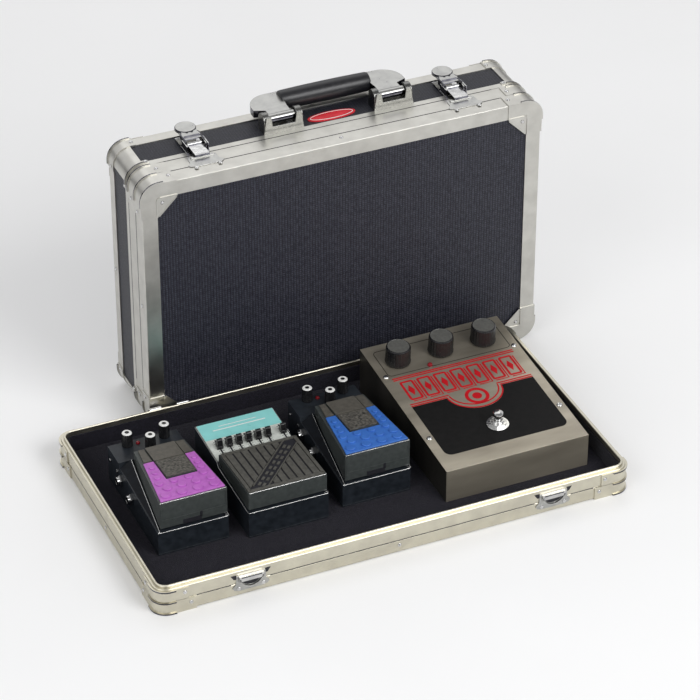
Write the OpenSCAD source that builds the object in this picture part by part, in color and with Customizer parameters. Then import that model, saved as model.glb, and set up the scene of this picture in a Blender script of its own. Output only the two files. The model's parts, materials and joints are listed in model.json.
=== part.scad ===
// A pedal board in two halves of a flight case: an open carpeted tray that carries four
// effect pedals, and the closed case standing on its hinge side behind it.
// +X runs along the tray, +Y to the back, +Z up.

/* [Tray] */
// Outer width of the tray
tray_w = 500; // [470:1:560]
// Outer depth of the tray, front to back
tray_d = 280; // [272:1:300]
// Height of the tray's rails
tray_h = 29; // [28:1:40]
// Corner radius of the tray
tray_r = 14; // [13:1:18]

/* [Closed case] */
// Outer width of the closed case
case_w = 433; // [400:1:460]
// Outer height of the closed case as it stands
case_h = 286; // [240:1:300]
// Depth of the closed case
case_d = 94; // [90:1:130]
// Depth of the case's front shell
front_d = 39; // [36:1:42]
// Corner radius of the case
case_r = 18; // [17:1:22]
// Left side of the case from the left side of the tray
case_x = 102; // [60:1:120]
// Front of the case from the front of the tray
case_y = 285; // [284:1:320]

/* [Compact pedals] */
// Width of the two compact pedals
compact_w = 73; // [72:1:74]
// Length of the two compact pedals
compact_d = 138; // [136:1:142]
// Left sides of the two compact pedals, from the tray's left side
compact_x = [31.5, 224.5];
// Front of the compact pedals from the tray's front
compact_y = 79; // [60:1:90]

/* [Equaliser pedal] */
// Width of the equaliser pedal
eq_w = 84; // [82:1:86]
// Length of the equaliser pedal
eq_d = 142; // [142:1:146]
// Left side of the equaliser pedal
eq_x = 121.8; // [120:0.2:124]
// Front of the equaliser pedal
eq_y = 70; // [60:1:90]

/* [Big pedal] */
// Width of the big pedal
big_w = 156; // [150:1:158]
// Length of the big pedal
big_d = 210; // [200:1:212]
// Height of the big pedal at its front edge
big_front = 37; // [34:0.5:42]
// Height of the big pedal at its rear edge
big_rear = 51.5; // [46:0.5:60]
// Left side of the big pedal
big_x = 321; // [318:1:324]
// Front of the big pedal
big_y = 46; // [40:1:60]

/* [Hidden] */
$fn = 48;

// Sheet, board and gap sizes that every shell shares
rail_t = 1.4;       // wall of the aluminium profiles
board_t = 3;        // plywood boards
carpet_t = 2;       // carpet on the tray's floor
lip_t = 0.8;        // corner plates under the edge angles
cap_t = 1.0;        // wall of the chrome corners
rib_t = 2.2;        // raised rims of the chrome corners; the case stands on them
mitre = 0.1;        // gap at the mitres
seam = 0.3;         // gap between the case's two shells
run = 0.06;         // running clearance of pins and knobs
tongue_h = 2.4;     // tongue on top of the closure rail
catch_proud = 2.3;  // catch lips stand this far out of the rails
floor_z = lip_t + 1.2 + board_t + carpet_t;

// Handle on the case's top
handle_y = front_d + 16;        // depth of the pin's axis
handle_z = 12;                  // height of the pin's axis
bracket_dx = 60;                // brackets from the handle's middle
grip_y = 31;                    // grip's axis from the pin's axis
grip_r = 10.5;
grip_half = 47;
arm_reach = 11.5;               // arms reach this far behind the grip's axis

// The origin is the middle of the whole set's footprint
x_low = -rib_t;
x_high = case_x + case_w + rib_t;
y_low = -catch_proud;
y_high = case_y + max(case_d, handle_y + grip_y + arm_reach);
mid_x = (x_low + x_high) / 2;
mid_y = (y_low + y_high) / 2;
stand = rib_t;

// Places of catches, latches, hinges and the handle along a shell's long side
function catch_at(w) = [0.19 * w, 0.83 * w];
latch_x = [0.175 * case_w, 0.825 * case_w];
hinge_at = [0.24, 0.76];
handle_x = 0.53 * case_w;

/* ---- placing ---- */
module on_tray() translate([-mid_x, -mid_y, 0]) children();
module case_lying()
    translate([case_x + case_w - mid_x, case_y - mid_y, stand]) rotate([90, 0, 180]) children();
module case_top() translate([case_x - mid_x, case_y - mid_y, stand + case_h]) children();
module on_floor(x, y) translate([x - mid_x, y - mid_y, floor_z]) children();

function corner_pt(w, d, k) = [[0, 0, 0], [w, 0, 0], [w, d, 0], [0, d, 0]][k];
function side_len(w, d, k) = k % 2 == 0 ? w : d;
module at_corner(w, d, k) translate(corner_pt(w, d, k)) rotate([0, 0, 90 * k]) children();
function arc(cx, cy, r, a0, a1, n = 12) =
    [for (i = [0:n]) [cx + r * cos(a0 + (a1 - a0) * i / n), cy + r * sin(a0 + (a1 - a0) * i / n)]];

/* ---- shared shapes of the shells ---- */
// A profile, drawn as inward distance and height, run round a rounded rectangle:
// four straight bars and four quarter bends, parted by the mitre gaps.
module ring(w, d, r)
    for (k = [0:3]) at_corner(w, d, k) {
        translate([r + mitre, 0, 0]) rotate([90, 0, 90])
            linear_extrude(side_len(w, d, k) - 2 * (r + mitre)) children();
        translate([r, r, 0]) rotate([0, 0, 180]) rotate_extrude(angle = 90, $fn = 96)
            translate([r, 0]) mirror([1, 0]) children();
    }

module rounded_board(w, d, r, inset, t)
    linear_extrude(t) {
        translate([r, inset]) square([w - 2 * r, d - 2 * inset]);
        translate([inset, r]) square([w - 2 * inset, d - 2 * r]);
        for (x = [r, w - r], y = [r, d - r]) translate([x, y]) circle(r - inset, $fn = 96);
    }

// Floor board and four low side boards
module shell_boards(w, d, h, r) {
    translate([0, 0, lip_t + 1.2]) rounded_board(w, d, r, rail_t, board_t);
    ring(w, d, r) translate([rail_t, lip_t + 1.2 + board_t + mitre])
        square([board_t, h - 3.4 - (lip_t + 1.2 + board_t + mitre)]);
}

module edge_angle_profile(h, flange)
    polygon([[0.6, lip_t], [flange, lip_t], [flange, lip_t + 1.2], [rail_t, lip_t + 1.2],
             [rail_t, h / 2 - 0.2], [0.3, h / 2 - 0.2], [0, h / 2 - 0.6], [0, lip_t + 0.6]]);

module closure_profile(h)
    polygon([[0, h / 2 + 0.6], [0.3, h / 2 + 0.2], [rail_t, h / 2 + 0.2], [rail_t, h - 3.2],
             [5.2, h - 3.2], [5.2, h + tongue_h - 0.5], [4.7, h + tongue_h], [3.3, h + tongue_h],
             [2.8, h + tongue_h - 0.5], [2.8, h], [0.4, h], [0, h - 0.4]]);

// Room for the hinge barrels in the rails, on one long side
module hinge_notches(w, d, k, low, high)
    for (p = hinge_at) at_corner(w, d, k)
        translate([p * w - hinge_len / 2 - 0.3, -1, low]) cube([hinge_len + 0.6, 3.1, high - low]);

// Wall of a corner piece round one corner
module corner_wall(r, t, arm, h) {
    translate([r, r, 0]) rotate([0, 0, 180]) rotate_extrude(angle = 90, $fn = 96)
        translate([r, 0]) square([t, h]);
    translate([r, -t, 0]) cube([arm - r, t, h]);
    translate([-t, r, 0]) cube([t, arm - r, h]);
}

// Flat plate of a corner piece with its corner web
module corner_plate(r, frame, arm, web, t)
    linear_extrude(t) polygon(concat(
        [[arm, 0], [arm, frame], [frame + web, frame], [frame, frame + web], [frame, arm], [0, arm]],
        arc(r, r, r, 180, 270)));

module outer_corner(r, h, frame, arm, web) {
    corner_plate(r, frame, arm, web, lip_t);
    corner_wall(r, cap_t, arm, h / 2 - 0.2);
    corner_wall(r, rib_t, r + 5, 1.6);
    translate([0, 0, h / 2 - 1.8]) corner_wall(r, rib_t, r + 5, 1.6);
}

module closure_corner(r, h, arm) {
    translate([0, 0, h / 2 + 0.2]) corner_wall(r, cap_t, arm, h / 2 - 1.6);
    translate([0, 0, h - 3]) corner_wall(r, rib_t, r + 5, 1.6);
}

module shell_corners(w, d, h, r, frame, arm, web)
    for (k = [0:3]) at_corner(w, d, k) {
        outer_corner(r, h, frame, arm, web);
        closure_corner(r, h, arm - 7);
    }

module rivet(r = 2.4) cylinder(h = 1.1, r1 = r, r2 = r * 0.6, $fn = 24);

// A rivet standing on the outer side of wall k, s along it and z up it
module wall_rivet(w, d, k, s, z, proud = 0)
    at_corner(w, d, k) translate([s, -proud, z]) rotate([90, 0, 0]) rivet();

// Catch plate with its lip; k is the side it sits on
module catch(w, d, h, k, s)
    at_corner(w, d, k) translate([s, 0, 0]) {
        translate([-17, -0.9, h / 2 - 9]) cube([34, 0.9, 7]);
        translate([-9.5, -0.9, h / 2 - 2.2]) cube([19, 0.9, h / 2 - 1.6]);
        translate([-7, -catch_proud, h - 7.6]) cube([14, catch_proud - 0.8, 1.8]);
    }

module catch_rivets(w, d, h, k, s)
    for (dx = [-12.5, 12.5]) wall_rivet(w, d, k, s + dx, h / 2 - 5.5, 0.9);

/* ---- hinges ---- */
hinge_len = 42;
knuckle_r = 1.9;
pin_r = 0.9;
hinge_u = -0.1;

module barrel(h, from, len)
    translate([from, hinge_u, h + seam / 2]) rotate([0, 90, 0]) cylinder(h = len, r = knuckle_r);

module pin_hole(h)
    translate([-hinge_len / 2 - 1, hinge_u, h + seam / 2]) rotate([0, 90, 0])
        cylinder(h = hinge_len + 2, r = pin_r + run);

// Leaf on the shallow shell: two end knuckles
module base_leaf(w, d, h, k)
    for (p = hinge_at) at_corner(w, d, k) translate([p * w, 0, 0]) difference() {
        union() {
            translate([-hinge_len / 2, -0.9, h - 12]) cube([hinge_len, 0.9, 9.6]);
            for (s = [-hinge_len / 2, hinge_len / 2 - 12.7]) {
                translate([s, -0.9, h - 3]) cube([12.7, 0.9, 3]);
                barrel(h, s, 12.7);
            }
        }
        pin_hole(h);
    }

// Leaf on the lid: the middle knuckle and the pin
module lid_leaf(w, d, h, k)
    for (p = hinge_at) at_corner(w, d, k) translate([p * w, 0, 0]) {
        translate([-hinge_len / 2, -0.9, h + 2.8]) cube([hinge_len, 0.9, 9.6]);
        translate([-8, -0.9, h]) cube([16, 0.9, 3]);
        barrel(h, -8, 16);
        translate([-hinge_len / 2, hinge_u, h + seam / 2]) rotate([0, 90, 0])
            cylinder(h = hinge_len, r = pin_r);
    }

/* ---- the tray ---- */
tray_frame = 12;
tray_arm = 39;

module tray_panels() color([0.12, 0.11, 0.13]) on_tray() shell_boards(tray_w, tray_d, tray_h, tray_r);

module tray_carpet() color([0.07, 0.065, 0.08]) on_tray() {
    translate([0, 0, floor_z - carpet_t])
        rounded_board(tray_w, tray_d, tray_r, rail_t + board_t, carpet_t);
    ring(tray_w, tray_d, tray_r) translate([rail_t + board_t, floor_z + mitre])
        square([1.6, tray_h - 3.4 - floor_z - mitre]);
}

module tray_edge_angles() color([0.78, 0.77, 0.72]) on_tray()
    ring(tray_w, tray_d, tray_r) edge_angle_profile(tray_h, tray_frame);

module tray_closure_rails() color([0.84, 0.83, 0.79]) on_tray() difference() {
    ring(tray_w, tray_d, tray_r) closure_profile(tray_h);
    hinge_notches(tray_w, tray_d, 2, tray_h - 2.3, tray_h + 1);
}

module tray_corners() color([0.85, 0.85, 0.86]) on_tray()
    shell_corners(tray_w, tray_d, tray_h, tray_r, tray_frame, tray_arm, 0.2);

module tray_rivets() color([0.75, 0.75, 0.74]) on_tray() {
    for (k = [0:3]) {
        len = side_len(tray_w, tray_d, k);
        for (s = [tray_arm - 5, len - tray_arm + 5])
            wall_rivet(tray_w, tray_d, k, s, tray_h * 0.3, cap_t);
        for (s = [tray_arm - 11, len - tray_arm + 11])
            wall_rivet(tray_w, tray_d, k, s, tray_h * 0.76, cap_t);
        wall_rivet(tray_w, tray_d, k, len / 2, tray_h * 0.3);
    }
    for (s = catch_at(tray_w)) catch_rivets(tray_w, tray_d, tray_h, 0, s);
}

module tray_catches() color([0.82, 0.82, 0.83]) on_tray()
    for (s = catch_at(tray_w)) catch(tray_w, tray_d, tray_h, 0, s);

module tray_hinge_leaves() color([0.7, 0.7, 0.7]) on_tray() base_leaf(tray_w, tray_d, tray_h, 2);

/* ---- the closed case: front shell ---- */
case_frame = 16;
case_arm = 37;
case_web = 21;

module case_front_panels() color([0.13, 0.13, 0.17]) case_lying()
    shell_boards(case_w, case_h, front_d, case_r);

module case_front_edge_angles() color([0.8, 0.79, 0.75]) case_lying()
    ring(case_w, case_h, case_r) edge_angle_profile(front_d, case_frame);

module case_front_rails() color([0.84, 0.83, 0.79]) case_lying() difference() {
    ring(case_w, case_h, case_r) closure_profile(front_d);
    hinge_notches(case_w, case_h, 0, front_d - 2.3, front_d + 1);
}

module case_front_corners() color([0.85, 0.85, 0.86]) case_lying()
    shell_corners(case_w, case_h, front_d, case_r, case_frame, case_arm, case_web);

module case_front_rivets() color([0.75, 0.75, 0.74]) case_lying() {
    for (k = [1:3]) {
        len = side_len(case_w, case_h, k);
        for (s = [case_arm - 4.5, len - case_arm + 4.5])
            wall_rivet(case_w, case_h, k, s, front_d * 0.3, cap_t);
        for (s = [case_arm - 11, len - case_arm + 11])
            wall_rivet(case_w, case_h, k, s, front_d * 0.72, cap_t);
        wall_rivet(case_w, case_h, k, len / 2, front_d * 0.3);
    }
    for (k = [0:3]) at_corner(case_w, case_h, k) translate([case_frame + 5, case_frame + 5, 0])
        mirror([0, 0, 1]) rivet(2.2);
    for (s = latch_x) catch_rivets(case_w, case_h, front_d, 2, s);
}

module case_catches() color([0.82, 0.82, 0.83]) case_lying()
    for (s = latch_x) catch(case_w, case_h, front_d, 2, s);

module case_front_hinge_leaves() color([0.7, 0.7, 0.7]) case_lying()
    base_leaf(case_w, case_h, front_d, 0);

/* ---- the closed case: lid ---- */
lid_low = front_d + seam;       // the lid's mating face
strip_top = front_d + 7.5;      // top of the lid's closure strip
back_low = case_d - 14.3;       // start of the rear angle
board_u = 1;                    // side boards lie this far in

module lid_closure_profile()
    polygon([[0, lid_low], [2.5, lid_low], [2.5, lid_low + 2.4], [board_u, lid_low + 2.4],
             [board_u, strip_top], [0, strip_top]]);

module lid_back_profile()
    polygon([[0, back_low], [board_u, back_low], [board_u, case_d - 2], [case_frame, case_d - 2],
             [case_frame, case_d - lip_t], [0.8, case_d - lip_t], [0, case_d - 1.6]]);

module case_lid_panels() color([0.11, 0.12, 0.2]) case_lying() {
    for (k = [0:3]) at_corner(case_w, case_h, k)
        translate([case_r + mitre, board_u, lid_low + 2.5])
            cube([side_len(case_w, case_h, k) - 2 * (case_r + mitre), 4, case_d - 5.2 - lid_low - 2.5]);
    translate([0, 0, case_d - 5]) rounded_board(case_w, case_h, case_r, rail_t, board_t);
}

module case_lid_frame() color([0.8, 0.79, 0.76]) case_lying() {
    difference() {
        ring(case_w, case_h, case_r) lid_closure_profile();
        hinge_notches(case_w, case_h, 0, front_d, front_d + 2.6);
    }
    ring(case_w, case_h, case_r) lid_back_profile();
    for (k = [0:3]) at_corner(case_w, case_h, k)
        translate([case_r, case_r, strip_top + mitre]) rotate([0, 0, 180])
            rotate_extrude(angle = 90, $fn = 96)
                translate([case_r - 1.2, 0]) square([1.2, back_low - strip_top - 2 * mitre]);
}

module case_lid_corners() color([0.85, 0.85, 0.86]) case_lying()
    for (k = [0:3]) at_corner(case_w, case_h, k) {
        translate([0, 0, front_d + 3]) corner_wall(case_r, cap_t, case_arm - 13, 5.6);
        translate([0, 0, front_d + 3.4]) corner_wall(case_r, rib_t, case_r + 1, 1.4);
        translate([0, 0, case_d - 15]) corner_wall(case_r, cap_t, case_arm - 13, 15);
        translate([0, 0, case_d - 1.6]) corner_wall(case_r, rib_t, case_r + 4, 1.6);
        translate([0, 0, case_d - lip_t]) corner_plate(case_r, case_frame, case_arm, case_web, lip_t);
    }

module case_lid_rivets() color([0.75, 0.75, 0.74]) case_lying()
    for (k = [1:3]) {
        len = side_len(case_w, case_h, k);
        for (s = [case_arm - 15.5, len - case_arm + 15.5], z = [front_d + 6.2, case_d - 8])
            wall_rivet(case_w, case_h, k, s, z, cap_t);
        wall_rivet(case_w, case_h, k, len / 2, case_d - 7);
    }

module case_lid_hinge_leaves() color([0.7, 0.7, 0.7]) case_lying()
    lid_leaf(case_w, case_h, front_d, 0);

/* ---- latches, drawn on the case's top: x along, y into the depth, z up ---- */
pivot_y = front_d + 7.5;
pivot_z = 5.5;
claw_y = pivot_y + 6;
claw_z = 4.4;

module x_cyl(x, y, z, len, r) translate([x, y, z]) rotate([0, 90, 0]) cylinder(h = len, r = r);

module latch_bases() color([0.8, 0.8, 0.81]) case_top()
    for (x = latch_x) translate([x, 0, 0]) {
        translate([-12, front_d + 2.5, 0]) cube([24, 34, 1]);
        for (s = [-1, 1]) {
            translate([s > 0 ? 10.4 : -11.6, front_d + 3, 1]) cube([1.2, 15, 7.6]);
            x_cyl(s > 0 ? 8.7 : -10.5, pivot_y, pivot_z, 1.8, 1.2);
        }
    }

module latch_lever(x) color([0.82, 0.82, 0.83]) case_top() translate([x, 0, 0]) {
    for (s = [-1, 1]) difference() {
        translate([s > 0 ? 8.6 : -9.8, 0, 0]) rotate([90, 0, 90]) linear_extrude(1.2)
            polygon([[pivot_y - 3, 3.4], [claw_y + 3, 2], [claw_y + 12, 5], [claw_y + 12, 9.4],
                     [claw_y + 1, 9.4], [pivot_y - 3, 8]]);
        x_cyl(s > 0 ? 8 : -10.4, pivot_y, pivot_z, 2.4, 1.2 + run);
    }
    translate([-9.8, claw_y + 2, 8.2]) cube([19.6, 20, 1.2]);
    translate([0, claw_y + 24, 8.2]) cylinder(h = 1.2, r = 11);
    x_cyl(-8.6, claw_y, claw_z, 17.2, 1);
}

module latch_claw(x) color([0.8, 0.8, 0.81]) case_top() translate([x, 0, 0]) difference() {
    union() {
        translate([-7.6, front_d - 9.4, 3.8]) cube([15.2, claw_y - front_d + 9.4, 1.2]);
        translate([-7.6, front_d - 9.4, 2.6]) cube([15.2, 1.6, 2.2]);
        x_cyl(-7.6, claw_y, claw_z, 15.2, 2.2);
    }
    x_cyl(-8, claw_y, claw_z, 16, 1 + run);
}

module left_latch_lever() latch_lever(latch_x[0]);
module right_latch_lever() latch_lever(latch_x[1]);
module left_latch_claw() latch_claw(latch_x[0]);
module right_latch_claw() latch_claw(latch_x[1]);

/* ---- handle, drawn on the case's top round its pin's axis ---- */

module handle_brackets() color([0.55, 0.55, 0.56]) case_top()
    for (s = [-1, 1]) translate([handle_x + s * bracket_dx, handle_y, 0]) {
        translate([-21, -8, -board_u]) cube([42, 16, board_u + 1.2]);
        for (p = [-21, 14.5]) {
            translate([p, -8, 0]) cube([6.5, 16, handle_z]);
            x_cyl(p, 0, handle_z, 6.5, 8);
        }
        x_cyl(-20.5, 0, handle_z, 41, 2);
    }

module handle_arms() color([0.83, 0.83, 0.84]) case_top()
    for (s = [-1, 1]) translate([handle_x, handle_y, handle_z]) scale([s, 1, 1]) difference() {
        union() {
            x_cyl(bracket_dx - 14, 0, 0, 28, 5);
            translate([0, 0, -4]) linear_extrude(8) polygon(concat(
                [[bracket_dx - 12, 0], [bracket_dx + 12, 0], [bracket_dx + 12, 10.5], [bracket_dx + 23, 15]],
                arc(bracket_dx + 1, grip_y + arm_reach - 22, 22, 0, 90),
                [[grip_half, grip_y + arm_reach], [grip_half, grip_y - 11], [bracket_dx - 12, 12]]));
        }
        x_cyl(bracket_dx - 15, 0, 0, 30, 2 + run);
    }

module handle_grip() color([0.06, 0.06, 0.07]) case_top()
    x_cyl(handle_x - grip_half, handle_y + grip_y, handle_z, 2 * grip_half, grip_r);

/* ---- compact pedals ---- */
axle_y = 97.5;                  // treadle's hinge axis
axle_z = 43;
axle_r = 2;
top_front = 60;                 // treadle's top at its front and rear edges
top_rear = 49.6;
treadle_end = 105;
treadle_slope = atan((top_front - top_rear) / (treadle_end - 2));
compact_knobs = [[18.5, 131.5], [38.5, 119.5], [57.5, 131.5]];
compact_jacks = [[0, 101, 22], [0, 72, 19]];
jack_r = 4.8;

module side_prism(w, pts) rotate([90, 0, 90]) linear_extrude(w) polygon(pts);

module compact_housing(i) color([0.12, 0.13, 0.14]) on_floor(compact_x[i], compact_y) difference() {
    union() {
        difference() {
            side_prism(compact_w, [[0, 2], [0, 26.5], [92, 33.9], [105.5, 33.9], [107, 39],
                                   [compact_d, 39], [compact_d, 2]]);
            translate([3, 0, 0]) side_prism(compact_w - 6,
                [[3, 0], [3, 23.6], [92, 30.9], [107, 30.9], [109, 36], [compact_d - 3, 36],
                 [compact_d - 3, 0]]);
        }
        for (x = [18.2, 61.8]) {
            translate([x, axle_y - 3.6, 33]) cube([4, 7.2, axle_z - 33]);
            x_cyl(x, axle_y, axle_z, 4, 3.6);
        }
        for (p = compact_knobs) translate([p[0], p[1], 37]) cylinder(h = 11, r = 3);
    }
    for (j = compact_jacks) x_cyl(j[0] * (compact_w - 4) - 1, j[1], j[2], 6, jack_r);
    x_cyl(0, axle_y, axle_z, compact_w, axle_r);
}

// Plan of the treadle, narrower to the rear, moved in by e all round
function treadle_plan(e) = [[3.6 + e, 2 + e], [compact_w - 0.2 - e, 2 + e],
                            [68.6 - e, treadle_end - e], [15.6 + e, treadle_end - e]];

module on_treadle() translate([0, 2, top_front]) rotate([-treadle_slope, 0, 0]) children();

module compact_treadle(i) color([0.2, 0.21, 0.2]) on_floor(compact_x[i], compact_y) {
    difference() {
        intersection() {
            side_prism(compact_w, [[2, 29.8], [2, top_front], [treadle_end, top_rear],
                                   [treadle_end, 37.6]]);
            linear_extrude(80) polygon(treadle_plan(0));
        }
        intersection() {
            side_prism(compact_w, [[2, 20], [2, top_front - 3], [treadle_end, top_rear - 3],
                                   [treadle_end, 20]]);
            linear_extrude(80) polygon(treadle_plan(2.6));
        }
        x_cyl(0, axle_y, axle_z, compact_w, axle_r + run);
    }
    on_treadle() difference() {
        translate([26.2, 39.5, -0.5]) cube([30.8, 61, 2.7]);
        translate([25.2, 72, 1.5]) cube([32.8, 1, 2]);
    }
}

module compact_pad(i) color(i == 0 ? [0.72, 0.42, 0.78] : [0.27, 0.47, 0.85])
    on_floor(compact_x[i], compact_y) on_treadle() {
        linear_extrude(1.4) polygon([[5.5, 1.5], [71.4, 1.5], [68.4, 75], [58.6, 75], [57.8, 38],
            [25.2, 38], [25.6, 75], [15.2, 75]]);
        for (c = [0:3]) translate([13.5 + c * 16.6, 10.5, 1.4]) cylinder(h = 1, r = 4.6);
        for (c = [0:3]) translate([15 + c * 15.8, 26, 1.4]) cylinder(h = 1, r = 4.2);
        for (row = [0:2]) {
            translate([17.6 + row * 1.4, 42.5 + row * 12.5, 1.4]) cylinder(h = 1, r = 3);
            translate([64.2, 42.5 + row * 12.5, 1.4]) cylinder(h = 1, r = 3);
        }
    }

module compact_knob(i, n) color([0.05, 0.05, 0.06])
    on_floor(compact_x[i] + compact_knobs[n][0], compact_y + compact_knobs[n][1]) difference() {
        translate([0, 0, 39.5]) cylinder(h = 15.5, r = 5.6);
        translate([0, 0, 39]) cylinder(h = 9.6, r = 3 + run);
    }

module left_pedal_housing() compact_housing(0);
module left_pedal_treadle() compact_treadle(0);
module left_pedal_pad() compact_pad(0);
module left_pedal_knob_1() compact_knob(0, 0);
module left_pedal_knob_2() compact_knob(0, 1);
module left_pedal_knob_3() compact_knob(0, 2);
module right_pedal_housing() compact_housing(1);
module right_pedal_treadle() compact_treadle(1);
module right_pedal_pad() compact_pad(1);
module right_pedal_knob_1() compact_knob(1, 0);
module right_pedal_knob_2() compact_knob(1, 1);
module right_pedal_knob_3() compact_knob(1, 2);

/* ---- equaliser pedal ---- */
eq_axle_y = 72.5;
eq_axle_z = 37.4;
eq_step = 82;                   // start of the raised rear part
eq_low = 36;                    // its height there and at the rear edge
eq_high = 39.5;
eq_slope = atan((eq_high - eq_low) / (eq_d - eq_step));
eq_sliders = [for (i = [0:5]) 10.6 + 10.3 * i, 78.4];
slider_y = 20;                  // sliders from the step, along the face
slot_half = 12;
eq_jacks = [[1, 114, 25.5]];

module on_eq_face() translate([0, eq_step, eq_low]) rotate([eq_slope, 0, 0]) children();

module eq_slots(depth)
    for (x = eq_sliders) translate([x - 0.9, slider_y - slot_half, -depth])
        cube([1.8, 2 * slot_half, depth + 3]);

module eq_pedal_housing() color([0.1, 0.1, 0.12]) on_floor(eq_x, eq_y) difference() {
    union() {
        difference() {
            side_prism(eq_w, [[0, 2], [0, 29.5], [eq_step - 3, 32], [eq_step, eq_low],
                              [eq_d, eq_high], [eq_d, 2]]);
            translate([3, 0, 0]) side_prism(eq_w - 6,
                [[3, 0], [3, 26.6], [eq_step - 1, 29.1], [eq_step + 1, eq_low - 3],
                 [eq_d - 3, eq_high - 3.1], [eq_d - 3, 0]]);
        }
        for (x = [4.2, eq_w - 8.2]) {
            translate([x, eq_axle_y - 3.4, 29]) cube([4, 6.8, eq_axle_z - 29]);
            x_cyl(x, eq_axle_y, eq_axle_z, 4, 3.4);
        }
    }
    on_eq_face() eq_slots(6);
    for (j = eq_jacks) x_cyl(j[0] * (eq_w - 4) - 1, j[1], j[2], 6, jack_r);
    x_cyl(0, eq_axle_y, eq_axle_z, eq_w, axle_r);
}

module eq_pedal_face_plate() color([0.55, 0.85, 0.83]) on_floor(eq_x, eq_y) on_eq_face() difference() {
    translate([1, 1, 0]) cube([eq_w - 2, 58, 1]);
    eq_slots(1);
}

module eq_pedal_treadle() color([0.22, 0.22, 0.21]) on_floor(eq_x, eq_y) difference() {
    translate([1, 0, 0]) side_prism(eq_w - 2, [[2, 32.2], [2, 51.8], [79.5, 46.8], [79.5, 34.4]]);
    translate([3.6, 0, 0]) side_prism(eq_w - 7.2, [[4.6, 20], [4.6, 48.7], [77, 44.1], [77, 20]]);
    x_cyl(0, eq_axle_y, eq_axle_z, eq_w, axle_r + run);
}

module eq_slider(n) color([0.05, 0.05, 0.05]) on_floor(eq_x, eq_y) on_eq_face()
    translate([eq_sliders[n - 1], slider_y, 0]) {
        translate([-0.7, -1.5, -5]) cube([1.4, 3, 7]);
        translate([-2.4, -3, 1.4]) cube([4.8, 6, 6.5]);
    }

module eq_pedal_slider_1() eq_slider(1);
module eq_pedal_slider_2() eq_slider(2);
module eq_pedal_slider_3() eq_slider(3);
module eq_pedal_slider_4() eq_slider(4);
module eq_pedal_slider_5() eq_slider(5);
module eq_pedal_slider_6() eq_slider(6);
module eq_pedal_slider_7() eq_slider(7);

/* ---- big pedal ---- */
big_slope = atan((big_rear - big_front) / big_d);
big_knobs = [28, 76, 124];
big_knob_y = 178;
switch_at = [79, 49];
big_jacks = [40, 116];
big_screws = [[6, 53], [150, 53], [6, 158], [150, 158]];
sheet_t = 1.5;
plunger_r = 4;

module on_big_top() translate([0, 0, big_front]) rotate([big_slope, 0, 0]) children();

module big_pedal_chassis() color([0.56, 0.54, 0.48]) on_floor(big_x, big_y) difference() {
    union() {
        difference() {
            side_prism(big_w, [[0, 0], [0, big_front], [big_d, big_rear], [big_d, 0]]);
            translate([sheet_t, 0, 0]) side_prism(big_w - 2 * sheet_t,
                [[sheet_t, -1], [sheet_t, big_front - sheet_t], [big_d - sheet_t, big_rear - sheet_t],
                 [big_d - sheet_t, -1]]);
        }
        on_big_top() for (x = big_knobs) translate([x, big_knob_y, -1]) cylinder(h = 12, r = 3);
    }
    on_big_top() translate([switch_at[0], switch_at[1], -4]) cylinder(h = 8, r = 6.1);
    for (x = big_jacks) translate([x, big_d + 1, 24]) rotate([90, 0, 0]) cylinder(h = 4, r = jack_r + 0.1);
}

module big_knob(n) color([0.05, 0.05, 0.05]) on_floor(big_x, big_y) on_big_top()
    translate([big_knobs[n - 1], big_knob_y, 0.5]) difference() {
        cylinder(h = 19, r1 = 13, r2 = 12.4, $fn = 64);
        translate([0, 0, -1]) cylinder(h = 13, r = 3 + run);
    }

module big_pedal_knob_1() big_knob(1);
module big_pedal_knob_2() big_knob(2);
module big_pedal_knob_3() big_knob(3);

module big_pedal_footswitch_bush() color([0.8, 0.8, 0.82]) on_floor(big_x, big_y) on_big_top()
    translate([switch_at[0], switch_at[1], 0]) difference() {
        union() {
            translate([0, 0, -12]) cylinder(h = 18, r = 6);
            cylinder(h = 0.9, r = 11.5);
            translate([0, 0, 0.9]) cylinder(h = 3.1, r = 9.4, $fn = 6);
        }
        translate([0, 0, -8]) cylinder(h = 20, r = plunger_r + run);
    }

module big_pedal_footswitch_button() color([0.85, 0.85, 0.86]) on_floor(big_x, big_y) on_big_top()
    translate([switch_at[0], switch_at[1], 0]) {
        translate([0, 0, -4]) cylinder(h = 15, r = plunger_r);
        translate([0, 0, 11]) cylinder(h = 3, r = 5.4);
        translate([0, 0, 14]) cylinder(h = 1.4, r1 = 5.4, r2 = 3.6);
    }

/* ---- pieces that several pedals share in kind ---- */
module pedal_base_plates() color([0.1, 0.1, 0.1]) {
    for (x = compact_x) on_floor(x, compact_y) cube([compact_w, compact_d, 2]);
    on_floor(eq_x, eq_y) cube([eq_w, eq_d, 2]);
    on_floor(big_x + sheet_t, big_y + sheet_t) cube([big_w - 2 * sheet_t, big_d - 2 * sheet_t, 1.5]);
}

// Jack socket along +X outwards, its nut on a wall at x = 0
module jack() difference() {
    union() {
        translate([-12, 0, 0]) rotate([0, 90, 0]) cylinder(h = 17, r = jack_r);
        rotate([0, 90, 0]) cylinder(h = 2.6, r = 6.6, $fn = 6);
    }
    translate([-11, 0, 0]) rotate([0, 90, 0]) cylinder(h = 18, r = 3.3);
}

module side_jack(w, j) translate([j[0] * w, j[1], j[2]]) rotate([0, 0, j[0] > 0 ? 0 : 180]) jack();

module pedal_jacks() color([0.8, 0.8, 0.8]) {
    for (x = compact_x) on_floor(x, compact_y) for (j = compact_jacks) side_jack(compact_w, j);
    on_floor(eq_x, eq_y) for (j = eq_jacks) side_jack(eq_w, j);
    on_floor(big_x, big_y) for (x = big_jacks) translate([x, big_d, 24]) rotate([0, 0, 90]) jack();
}

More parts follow.
